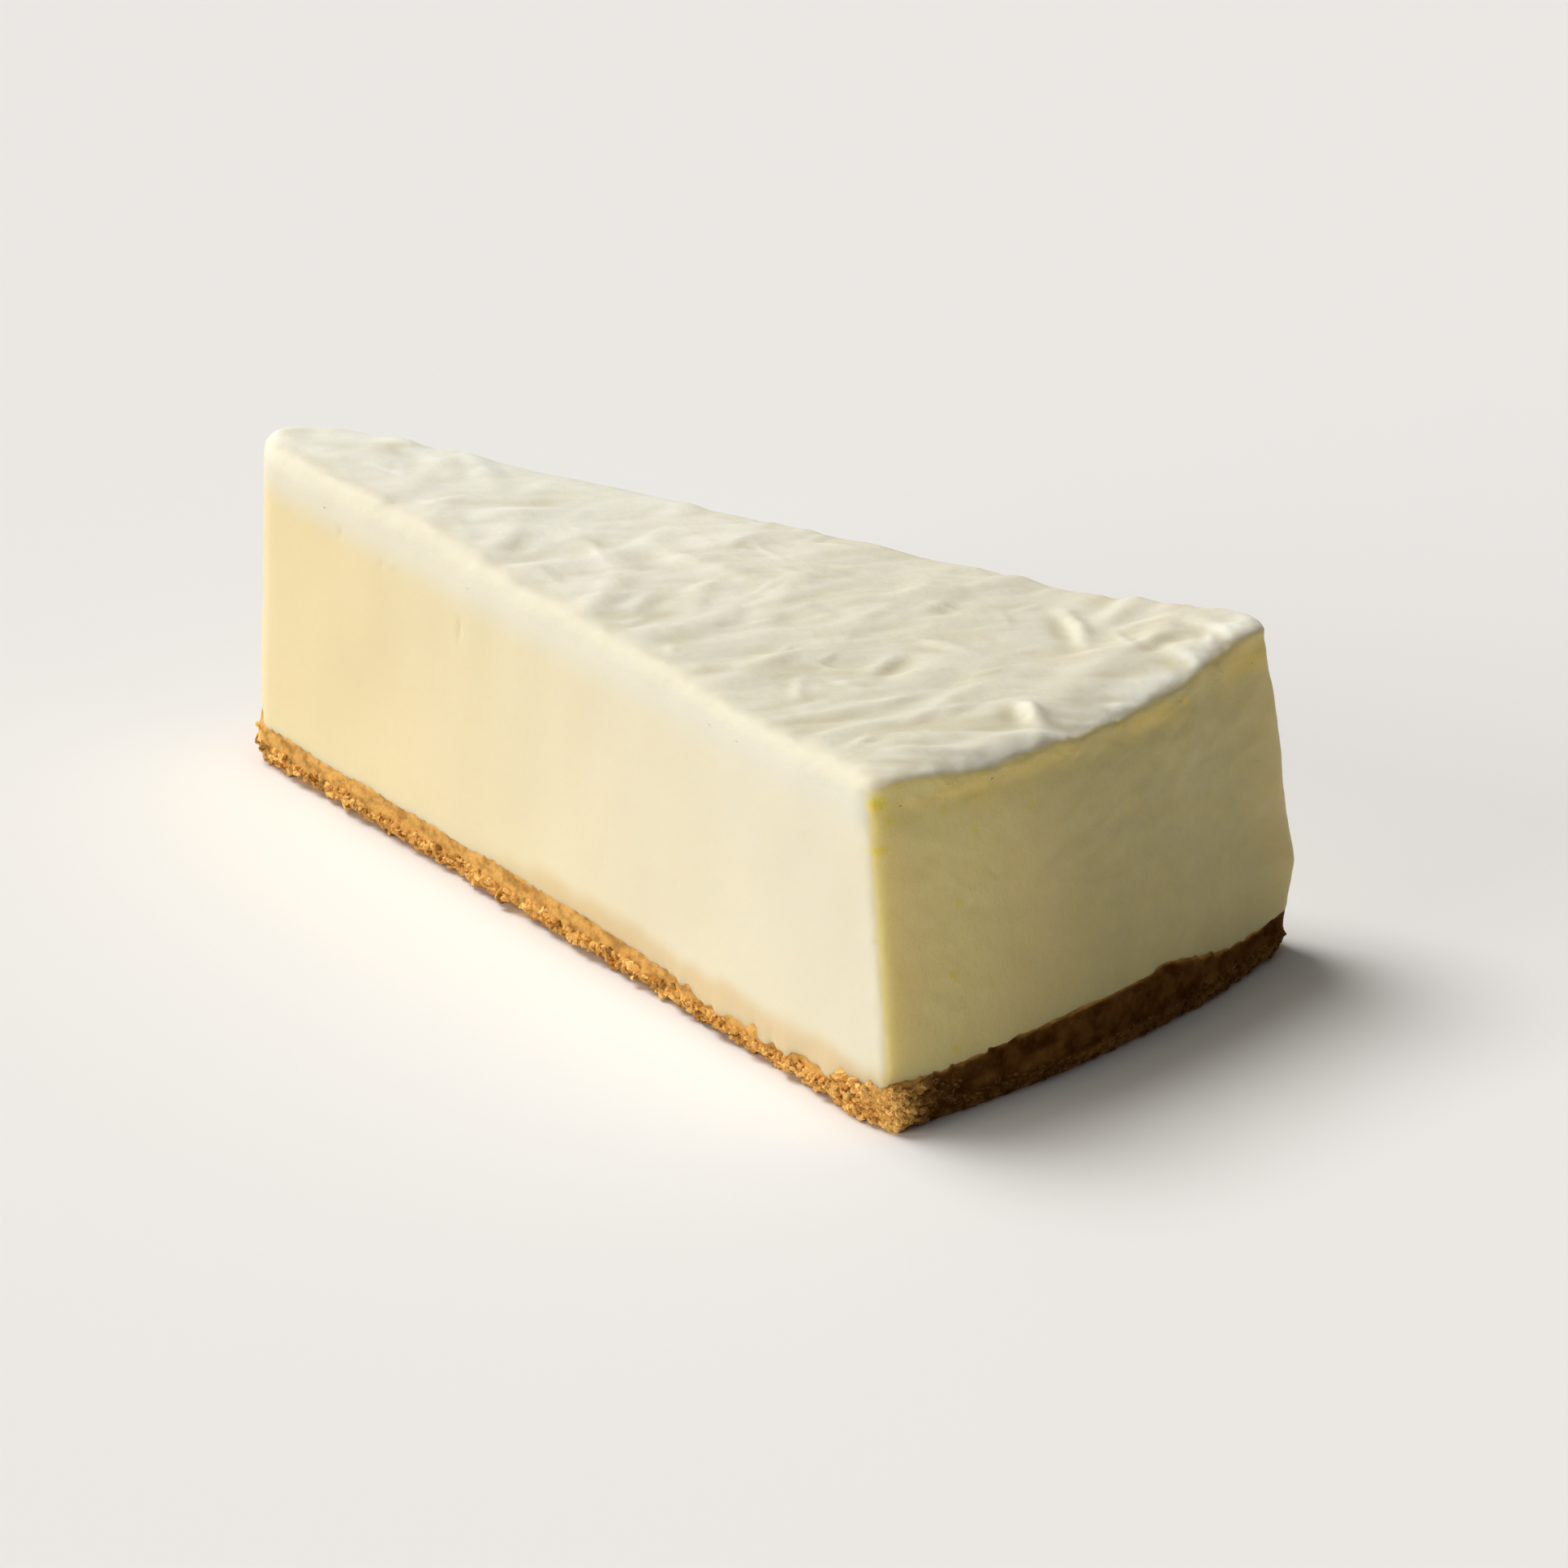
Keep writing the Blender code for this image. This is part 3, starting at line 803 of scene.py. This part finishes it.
# Single crumbs that stand out of the cuts and the rim
grainShape = dict(
    seed=31,
    kinds=6,
    cube=0.9,
    roundness=0.45,
    unevenness=0.13,
    proportions=(1.35, 0.85, 0.5),
    count=3300,
    size=(0.3 * mm, 1.15 * mm),
    rimSize=0.5,
    cornerLarger=0.3,
    cornerReach=14 * mm,
    rimShare=0.16,
    rimDepth=2.0 * mm,
    cornerWidth=5.0 * mm,  # this near to the cut, the rim is as loose as the cut
    looseCorner=9 * mm,
    wallUpTo=0.6,
    lowest=0.3 * mm,
    highest=2.3 * mm,
    highestInCorner=4.8 * mm,
    sunk=0.15,  # as a share of a crumb's size
    lift=0.3,
    gap=0.15 * mm,
    tilt=0.5,
    toneCurve=0.8,
    # painted light: crumbs are lighter near the lit corner
    cornerTone=0.3,
    shaded=0.14,  # the share of the crumbs that are dark
    shade=0.75,
    # the rim's dark crust on the crumbs: partly baked crust, partly painted shade
    baked=0.85,
    bakedDepth=2.5 * mm,
    bakedFrom=(1.4 * mm, 4 * mm),
)


def modelGrain(number):
    bpy.ops.object.select_all(action="DESELECT")
    bpy.ops.mesh.primitive_cube_add(size=grainShape["cube"])
    grain = bpy.context.object
    grain.name = f"grainModel{number}"
    bpy.ops.object.mode_set(mode="EDIT")
    bpy.ops.mesh.select_all(action="SELECT")
    bpy.ops.mesh.subdivide(number_cuts=1)
    bpy.ops.transform.tosphere(value=grainShape["roundness"])
    bpy.ops.transform.vertex_random(offset=grainShape["unevenness"], uniform=0.6, normal=0.3, seed=number)
    bpy.ops.transform.resize(value=grainShape["proportions"])
    bpy.ops.object.mode_set(mode="OBJECT")
    return grain


def grainSpots(normals, place):
    # the base's points where crumbs may sit, on the cuts and on the rim
    looseCorner = np.hypot(place.fromRim, place.fromNear) < grainShape["looseCorner"]
    highest = np.where(looseCorner, grainShape["highestInCorner"], grainShape["highest"])
    onWall = np.abs(normals[:, 2]) < grainShape["wallUpTo"]
    onWall &= (place.z > grainShape["lowest"]) & (place.z < highest)
    onRim = (place.fromRim < grainShape["rimDepth"]) & (place.fromNear > grainShape["cornerWidth"])
    return np.flatnonzero(onWall & ~onRim), np.flatnonzero(onWall & onRim)


def nearCorner(place):
    return fall(np.hypot(place.fromRim, place.fromNear), grainShape["cornerReach"])


def scatterGrains(base):
    draw = random.Random(grainShape["seed"])
    models = [modelGrain(number) for number in range(grainShape["kinds"])]
    points, normals = readPoints(base)
    place = Places(points)
    onCuts, onRim = grainSpots(normals, place)
    larger = 1.0 + grainShape["cornerLarger"] * nearCorner(place)
    tilt = grainShape["tilt"]
    copies = []
    tones = []
    shades = []
    for _ in range(grainShape["count"]):
        where = onRim if draw.random() < grainShape["rimShare"] else onCuts
        spot = where[draw.randrange(len(where))]
        size = draw.uniform(*grainShape["size"])
        size *= grainShape["rimSize"] if where is onRim else larger[spot]
        middle = Vector(points[spot]) - Vector(normals[spot]) * (grainShape["sunk"] * size)
        middle.z = max(middle.z, grainShape["lift"] * size)
        turn = Euler((draw.gauss(0, tilt), draw.gauss(0, tilt), draw.uniform(0, math.tau)))
        mesh = draw.choice(models).data.copy()
        mesh.transform(turn.to_matrix().to_4x4() @ Matrix.Scale(size, 4))
        reach = max(vertex.co.length for vertex in mesh.vertices)
        for axis in (0, 1):
            room = reach + draw.uniform(0.0, grainShape["gap"])
            middle[axis] = min(max(middle[axis], cadBox[0][axis] + room), cadBox[1][axis] - room)
        mesh.transform(Matrix.Translation(middle))
        copy = bpy.data.objects.new("grain", mesh)
        bpy.context.collection.objects.link(copy)
        copies.append(copy)
        tones += [draw.random() ** grainShape["toneCurve"]] * len(mesh.vertices)
        shades += [float(draw.random() < grainShape["shaded"])] * len(mesh.vertices)
    for model in models:
        bpy.data.objects.remove(model)
    selectOnly(copies[0])
    for copy in copies:
        copy.select_set(True)
    bpy.ops.object.join()
    grains = bpy.context.object
    grains.name = grains.data.name = "crumbGrains"
    points, _ = readPoints(grains)
    writePoints(grains, points)
    place = Places(points)
    baked = grainShape["baked"] * (1.0 - within(place.fromNear, *grainShape["bakedFrom"]))
    writeMask(grains, "rim", baked * fall(place.fromRim, grainShape["bakedDepth"]))
    # painted light: lighter crumbs near the lit corner
    writeMask(grains, "tone", np.array(tones) + grainShape["cornerTone"] * nearCorner(place))
    # painted shade: some crumbs are dark, standing in for shaded gaps
    writeMask(grains, "crease", grainShape["shade"] * np.array(shades))
    writeMask(grains, "smear", np.zeros(len(points)))
    return grains


crumbBase = makeBase()
print("crumb base:", len(crumbBase.data.vertices), "vertices")
crumbGrains = scatterGrains(crumbBase)
print("single crumbs:", len(crumbGrains.data.vertices), "vertices")


# Materials
def newMaterial(name, **sockets):
    material = bpy.data.materials.new(name)
    material.use_nodes = True
    shader = material.node_tree.nodes["Principled BSDF"]
    setInputs(shader, **sockets)
    return material, material.node_tree, shader


def addNode(tree, kind, **settings):
    node = tree.nodes.new("ShaderNode" + kind)
    for name, value in settings.items():
        setattr(node, name, value)
    return node


def setInputs(node, **values):
    for name, value in values.items():
        node.inputs[name.replace("_", " ")].default_value = value
    return node


def addNoise(tree, where, size, detail=3.0, roughness=0.55):
    # a noise whose features are size metres wide, read from Object coordinates
    mapping = addNode(tree, "Mapping")
    mapping.inputs["Scale"].default_value = [1 / size] * 3
    tree.links.new(where, mapping.inputs["Vector"])
    texture = setInputs(addNode(tree, "TexNoise"), Scale=1.0, Detail=detail, Roughness=roughness)
    tree.links.new(mapping.outputs["Vector"], texture.inputs["Vector"])
    return texture.outputs["Fac"]


def addRange(tree, value, low, high, lowest=0.0, highest=1.0):
    node = addNode(tree, "MapRange", interpolation_type="SMOOTHSTEP")
    setInputs(node, From_Min=low, From_Max=high, To_Min=lowest, To_Max=highest)
    tree.links.new(value, node.inputs["Value"])
    return node.outputs["Result"]


def readMask(tree, name):
    return addNode(tree, "Attribute", attribute_name=name).outputs["Fac"]


def addMath(tree, operation, first, second):
    node = addNode(tree, "Math", operation=operation)
    for socket, value in zip(node.inputs, (first, second)):
        if isinstance(value, (int, float)):
            socket.default_value = value
        else:
            tree.links.new(value, socket)
    return node.outputs["Value"]


def addMix(tree, share, first, second):
    node = addNode(tree, "Mix", data_type="RGBA")
    # a Mix node's first input is its factor, and its seventh and eighth are its colours
    for socket, value in zip((node.inputs[0], node.inputs[6], node.inputs[7]), (share, first, second)):
        if isinstance(value, bpy.types.NodeSocket):
            tree.links.new(value, socket)
        else:
            socket.default_value = value
    return node.outputs[2]


def newGroup(name, inputs, outputs):
    tree = bpy.data.node_groups.new(name, "ShaderNodeTree")
    for socket, kind in inputs.items():
        tree.interface.new_socket(socket, in_out="INPUT", socket_type="NodeSocket" + kind)
    for socket, kind in outputs.items():
        tree.interface.new_socket(socket, in_out="OUTPUT", socket_type="NodeSocket" + kind)
    return tree, tree.nodes.new("NodeGroupInput").outputs, tree.nodes.new("NodeGroupOutput").inputs


cheeseLook = dict(
    tones=("Cut", "Golden", "Cream", "Highlit", "Rim", "Corner", "Groove", "Haze", "Fleck", "Hollow", "Edge"),
    cut=(0.775, 0.712, 0.54, 1.0),
    # partly the cheese's own deeper yellow, partly painted shade and warm bounced light, towards the tip
    golden=(0.80, 0.635, 0.30, 1.0),
    cream=(0.78, 0.735, 0.595, 1.0),
    # painted light: the cream's lit tone, on the lip and towards the tip
    highlit=(1.0, 0.965, 0.84, 1.0),
    # painted shade for the knife's troughs, also laid in random patches on the cream
    hollow=(0.67, 0.61, 0.42, 1.0),
    # painted shade that tones down the highlight on the near cut's top edge
    edge=(0.70, 0.65, 0.50, 1.0),
    # darker and yellower: partly the baked skin, partly painted shade
    rim=(0.685, 0.59, 0.275, 1.0),
    # painted light near the rim's corners, also laid in random mottles over the rim
    corner=(1.0, 0.80, 0.345, 1.0),
    # partly its own colour, partly painted light under the lip; also laid in random speckles
    groove=(0.98, 0.74, 0.20, 1.0),
    haze=(0.66, 0.43, 0.17, 1.0),
    fleck=(0.95, 0.73, 0.05, 1.0),
    share=dict(golden=0.65, groove=0.85, haze=0.6, fleck=0.8, hollow=0.7, edge=0.8),
    paleTop=(29.5 * mm, 34.0 * mm, 0.0, 0.9),  # the cheese pales below the cream
    mottleSize=5 * mm,
    mottle=(0.38, 0.66, 0.0, 0.16),
    speckleSize=1.1 * mm,
    speckle=(0.42, 0.62, 0.0, 0.1),
    cutSpeckle=0.25,  # the cuts are less speckled than the rim
    patchSize=3.2 * mm,
    patch=(0.48, 0.7, 0.0, 0.35),
    translucency=0.8,
    softness=4.0 * mm,
    tint=(1.0, 0.70, 0.38),
    specular=0.3,
    dampSize=4 * mm,
    dampFrom=(0.35, 0.65),
    damp=(-0.08, 0.1),  # how far the roughness varies
    grain=0.7,
    rimGrain=1.5,  # the rim is the grainier
    finishes=dict(
        filling=dict(roughness=0.55, grainSize=0.9 * mm, grainHeight=0.05 * mm),
        cream=dict(roughness=0.62, grainSize=0.8 * mm, grainHeight=0.08 * mm),
    ),
)


def makeCheeseColour():
    # the colour of baked cheese and of the cream on it, told apart by the body's masks
    inputs = {name: "Color" for name in cheeseLook["tones"]}
    tree, given, wanted = newGroup("cheeseColour", inputs, {"Color": "Color"})
    where = addNode(tree, "TexCoord").outputs["Object"]
    masks = ("spread", "highlit", "rim", "corner", "groove", "haze", "fleck", "hollow", "golden", "edge")
    mask = {name: readMask(tree, name) for name in masks}

    def lay(tone, under):
        # lays a tone over what is under it, where its mask is
        share = addMath(tree, "MULTIPLY", mask[tone], cheeseLook["share"][tone])
        return addMix(tree, share, under, given[tone.capitalize()])

    height = addNode(tree, "SeparateXYZ")
    tree.links.new(where, height.inputs[0])
    mottle = addNoise(tree, where, cheeseLook["mottleSize"], detail=5.0, roughness=0.6)
    speckle = addNoise(tree, where, cheeseLook["speckleSize"], detail=4.0, roughness=0.65)
    patch = addNoise(tree, where, cheeseLook["patchSize"], detail=4.0, roughness=0.6)
    paleTop = addRange(tree, height.outputs["Z"], *cheeseLook["paleTop"])
    cut = addMix(tree, paleTop, lay("golden", given["Cut"]), given["Cream"])
    cornerShare = addMath(tree, "MAXIMUM", mask["corner"], addRange(tree, mottle, *cheeseLook["mottle"]))
    cut = addMix(tree, mask["rim"], cut, addMix(tree, cornerShare, given["Rim"], given["Corner"]))
    cut = lay("haze", lay("groove", cut))
    speckled = addMath(tree, "MAXIMUM", mask["rim"], cheeseLook["cutSpeckle"])
    speckled = addMath(tree, "MULTIPLY", addRange(tree, speckle, *cheeseLook["speckle"]), speckled)
    cut = lay("fleck", addMix(tree, speckled, cut, given["Groove"]))
    # painted light lightens the cream on the lip and towards the tip, and painted shade darkens the knife's
    # troughs
    creamTone = lay("hollow", addMix(tree, mask["highlit"], given["Cream"], given["Highlit"]))
    notHighlit = addMath(tree, "SUBTRACT", 1.0, mask["highlit"])
    patched = addMath(tree, "MULTIPLY", addRange(tree, patch, *cheeseLook["patch"]), notHighlit)
    creamTone = addMix(tree, patched, creamTone, given["Hollow"])
    # painted shade along the near cut's top edge
    whole = lay("edge", addMix(tree, mask["spread"], cut, creamTone))
    tree.links.new(whole, wanted["Color"])
    return tree


def makeFineRelief():
    # curd-like grain, finer than the mesh
    tree, given, wanted = newGroup("fineRelief", {"Size": "Float"}, {"Height": "Float"})
    where = addNode(tree, "TexCoord").outputs["Object"]
    scaled = addNode(tree, "VectorMath", operation="SCALE")
    tree.links.new(where, scaled.inputs[0])
    tree.links.new(addMath(tree, "DIVIDE", 1.0, given["Size"]), scaled.inputs["Scale"])
    grain = setInputs(addNode(tree, "TexNoise"), Scale=1.0, Detail=4.0, Roughness=0.6)
    tree.links.new(scaled.outputs["Vector"], grain.inputs["Vector"])
    rimGrain = addMath(tree, "MULTIPLY", readMask(tree, "rim"), cheeseLook["rimGrain"])
    share = addMath(tree, "ADD", cheeseLook["grain"], rimGrain)
    tree.links.new(addMath(tree, "MULTIPLY", grain.outputs["Fac"], share), wanted["Height"])
    return tree


def makeCheeseMaterial(name, colourGroup, reliefGroup):
    finish = cheeseLook["finishes"][name]
    material, tree, shader = newMaterial(
        name,
        Roughness=finish["roughness"],
        Specular_IOR_Level=cheeseLook["specular"],
        Subsurface_Weight=cheeseLook["translucency"],
        Subsurface_Radius=cheeseLook["tint"],
        Subsurface_Scale=cheeseLook["softness"],
    )
    colour = addNode(tree, "Group", node_tree=colourGroup)
    setInputs(colour, **{name: cheeseLook[name.lower()] for name in cheeseLook["tones"]})
    tree.links.new(colour.outputs["Color"], shader.inputs["Base Color"])
    relief = addNode(tree, "Group", node_tree=reliefGroup)
    setInputs(relief, Size=finish["grainSize"])
    bump = setInputs(addNode(tree, "Bump"), Strength=1.0, Distance=finish["grainHeight"])
    tree.links.new(relief.outputs["Height"], bump.inputs["Height"])
    tree.links.new(bump.outputs["Normal"], shader.inputs["Normal"])
    where = addNode(tree, "TexCoord").outputs["Object"]
    weight = addMath(tree, "MULTIPLY", readMask(tree, "deep"), cheeseLook["translucency"])
    tree.links.new(weight, shader.inputs["Subsurface Weight"])
    uneven = addNoise(tree, where, cheeseLook["dampSize"])
    roughness = [finish["roughness"] + change for change in cheeseLook["damp"]]
    damp = addRange(tree, uneven, *cheeseLook["dampFrom"], *roughness)
    tree.links.new(damp, shader.inputs["Roughness"])
    return material


crumbLook = dict(
    dark=(0.30, 0.10, 0.016, 1.0),
    mid=(0.53, 0.225, 0.04, 1.0),
    light=(1.0, 0.63, 0.20, 1.0),
    # the rim's crust: partly baked crust, partly painted shade
    rim=(0.066, 0.017, 0.001, 1.0),
    rimLight=(0.23, 0.078, 0.008, 1.0),
    # painted shade in the hollows between crumbs
    crease=(0.12, 0.036, 0.005, 1.0),
    creaseShare=0.8,
    smear=(0.76, 0.43, 0.12, 1.0),
    roughness=0.95,
    specular=0.04,
    clumpSize=2.2 * mm,
    fineSize=0.5 * mm,
    lightness=(0.3, 0.6, 0.5, 1.0),
    darkSpecks=(0.54, 0.72, 0.0, 0.6),
    smearShare=(0.45, 0.6, 0.75, 0.25),
    rimSpecks=(0.55, 0.75, 0.0, 0.6),
    bakedShare=(0.35, 0.6, 1.0, 0.88),
    bumpHeight=0.2 * mm,
)


def makeCrumbMaterial():
    material, tree, shader = newMaterial(
        "crumb",
        Roughness=crumbLook["roughness"],
        Specular_IOR_Level=crumbLook["specular"],
    )
    where = addNode(tree, "TexCoord").outputs["Object"]
    clumps = addNoise(tree, where, crumbLook["clumpSize"])
    fine = addNoise(tree, where, crumbLook["fineSize"], roughness=0.7)

    def share(mask, pattern, name):
        return addMath(tree, "MULTIPLY", readMask(tree, mask), addRange(tree, pattern, *crumbLook[name]))

    tone = addMix(tree, share("tone", clumps, "lightness"), crumbLook["mid"], crumbLook["light"])
    tone = addMix(tree, addRange(tree, fine, *crumbLook["darkSpecks"]), tone, crumbLook["dark"])
    tone = addMix(tree, share("smear", fine, "smearShare"), tone, crumbLook["smear"])
    creased = addMath(tree, "MULTIPLY", readMask(tree, "crease"), crumbLook["creaseShare"])
    tone = addMix(tree, creased, tone, crumbLook["crease"])
    rimSpecks = addRange(tree, fine, *crumbLook["rimSpecks"])
    crustAndShade = addMix(tree, rimSpecks, crumbLook["rim"], crumbLook["rimLight"])
    tone = addMix(tree, share("rim", clumps, "bakedShare"), tone, crustAndShade)
    tree.links.new(tone, shader.inputs["Base Color"])
    bump = setInputs(addNode(tree, "Bump"), Strength=1.0, Distance=crumbLook["bumpHeight"])
    tree.links.new(fine, bump.inputs["Height"])
    tree.links.new(bump.outputs["Normal"], shader.inputs["Normal"])
    return material


cheeseColour = makeCheeseColour()
fineRelief = makeFineRelief()
filling = makeCheeseMaterial("filling", cheeseColour, fineRelief)
cream = makeCheeseMaterial("cream", cheeseColour, fineRelief)
crumb = makeCrumbMaterial()
dressing = (
    (creamTopping, cream, "topping", "cream_topping"),
    (cheeseFilling, filling, "filling", "cheese_filling"),
    (crumbBase, crumb, "crumb", "crumb_base"),
    (crumbGrains, crumb, "crumb", None),
)
for piece, material, slot, node in dressing:
    piece.data.materials.clear()
    piece.data.materials.append(material)
    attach(piece, "root")
    if node:
        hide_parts(node)
print("materials on")

# The floor, the light and the camera
studio = dict(
    floorSize=6.0,
    floorColour=(0.855, 0.843, 0.832, 1.0),
    floorRoughness=0.8,
    floorSpecular=0.1,
    lamps=(
        dict(
            name="overhead",
            towards=Vector((-0.56, -0.06, 0.83)),
            spread=math.radians(34),
            power=0.83 * math.pi,
        ),
        dict(
            name="side",
            towards=Vector((-0.33, -0.92, 0.22)),
            spread=math.radians(40),
            power=0.49 * math.pi,
        ),
    ),
    lampColour=(1.0, 0.99, 0.965),
    skyColour=(1.0, 0.98, 0.95, 1.0),
    skyFrom=(-0.60, -0.30, 0.74),  # the sky is lightest here
    skyReach=(-0.4, 0.7),
    skyStrength=(0.02, 0.22),
)


def makeStudio():
    bpy.ops.object.select_all(action="DESELECT")
    bpy.ops.mesh.primitive_plane_add(size=studio["floorSize"])
    floor = bpy.context.object
    floor.name = "floor"
    material, _, shader = newMaterial("floor")
    setInputs(
        shader,
        Base_Color=studio["floorColour"],
        Roughness=studio["floorRoughness"],
        Specular_IOR_Level=studio["floorSpecular"],
    )
    floor.data.materials.append(material)
    for lamp in studio["lamps"]:
        data = bpy.data.lights.new(lamp["name"], "SUN")
        data.angle = lamp["spread"]
        data.energy = lamp["power"]
        data.color = studio["lampColour"]
        light = bpy.data.objects.new(lamp["name"], data)
        light.rotation_euler = lamp["towards"].to_track_quat("Z", "Y").to_euler()
        bpy.context.collection.objects.link(light)
    world = bpy.data.worlds.new("sky")
    world.use_nodes = True
    tree = world.node_tree
    sky = tree.nodes["Background"]
    sky.inputs["Color"].default_value = studio["skyColour"]
    where = addNode(tree, "TexCoord").outputs["Generated"]
    facing = addNode(tree, "VectorMath", operation="DOT_PRODUCT")
    facing.inputs[1].default_value = studio["skyFrom"]
    tree.links.new(where, facing.inputs[0])
    strength = addRange(tree, facing.outputs["Value"], *studio["skyReach"], *studio["skyStrength"])
    tree.links.new(strength, sky.inputs["Strength"])
    bpy.context.scene.world = world
    bpy.context.scene.view_settings.view_transform = "Standard"


# The photograph's view of the slice, brought nearer with a longer lens
view = dict(
    target=Vector((apexX + 98.99 * mm, -4.48 * mm, 18 * mm)),
    azimuth=math.radians(40.22),
    elevation=math.radians(23.79),
    roll=math.radians(1.38),
    distance=1.5125,
    lens=334.8,
)


def makeCamera():
    data = bpy.data.cameras.new("camera")
    data.lens = view["lens"]
    camera = bpy.data.objects.new("camera", data)
    level = math.cos(view["elevation"])
    across, along = math.sin(view["azimuth"]) * level, -math.cos(view["azimuth"]) * level
    back = Vector((across, along, math.sin(view["elevation"])))
    camera.location = view["target"] + back * view["distance"]
    aimed = back.to_track_quat("Z", "Y").to_matrix().to_4x4()
    camera.rotation_euler = (aimed @ Matrix.Rotation(view["roll"], 4, "Z")).to_euler()
    bpy.context.collection.objects.link(camera)
    bpy.context.scene.camera = camera


makeStudio()
makeCamera()
print("studio and camera set")
